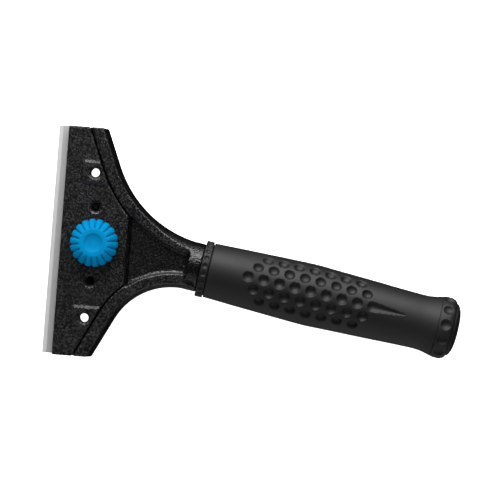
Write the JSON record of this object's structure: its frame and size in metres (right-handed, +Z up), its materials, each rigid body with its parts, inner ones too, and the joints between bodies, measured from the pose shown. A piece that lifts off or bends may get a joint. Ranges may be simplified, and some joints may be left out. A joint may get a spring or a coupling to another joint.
{
  "type": "window scraper",
  "caption": "Screw-clamp window scraper: a wide steel blade held by a cast head and clamp plate with a thumb knob, on a dimpled rubber handle set at a slight angle.",
  "frame": {"origin": "in the middle of the head's flat underside, on the line of the handle, 0.8 mm from the clamp screw's axis", "axes": "+X from the blade towards the handle, +Y along the blade, +Z up through the knob; the handle leans 9.33 degrees from +X towards -Y"},
  "size_m": [0.1824, 0.1006, 0.0324],
  "materials": {
    "cast_paint": "black textured hammer paint",
    "blade_steel": "ground carbon steel with a bright bevel",
    "plated_steel": "zinc plated",
    "brass": "turned",
    "knob_plastic": "blue, satin",
    "core_plastic": "moulded",
    "grip_rubber": "matt black, dimpled"
  },
  "bodies": {
    "root": {"head_casting": "cast_paint", "threaded_bush": "brass", "guide_pin_left": "plated_steel", "guide_pin_right": "plated_steel", "grip_core": "core_plastic", "collar_ring": "grip_rubber", "grip_sleeve": "grip_rubber", "end_cap": "grip_rubber", "tang_washer": "plated_steel", "tang_screw": "plated_steel", "end_plug": "grip_rubber"},
    "clamp": {"clamp_plate": "cast_paint", "knob_washer": "plated_steel"},
    "knob": {"thumb_knob": "knob_plastic", "clamp_screw": "plated_steel", "retaining_ring": "plated_steel"},
    "blade": {"scraper_blade": "blade_steel"}
  },
  "joints": [
    {"name": "clamp_lift", "type": "slide", "parent": "root", "child": "clamp", "axis": [0, 0, 1], "range_m": [0, 0.002]},
    {"name": "knob_turn", "type": "hinge", "parent": "clamp", "child": "knob", "pos_m": [0.00065, -0.0004, 0.0146], "axis": [0, 0, 1], "range_deg": [0, 720]},
    {"name": "blade_slide", "type": "slide", "parent": "root", "child": "blade", "axis": [-1, 0, 0], "range_m": [0, 0.012]}
  ],
  "couplings": [
    {"joint": "knob_turn", "follows": "clamp_lift", "rad_per_m": 6283.2}
  ]
}
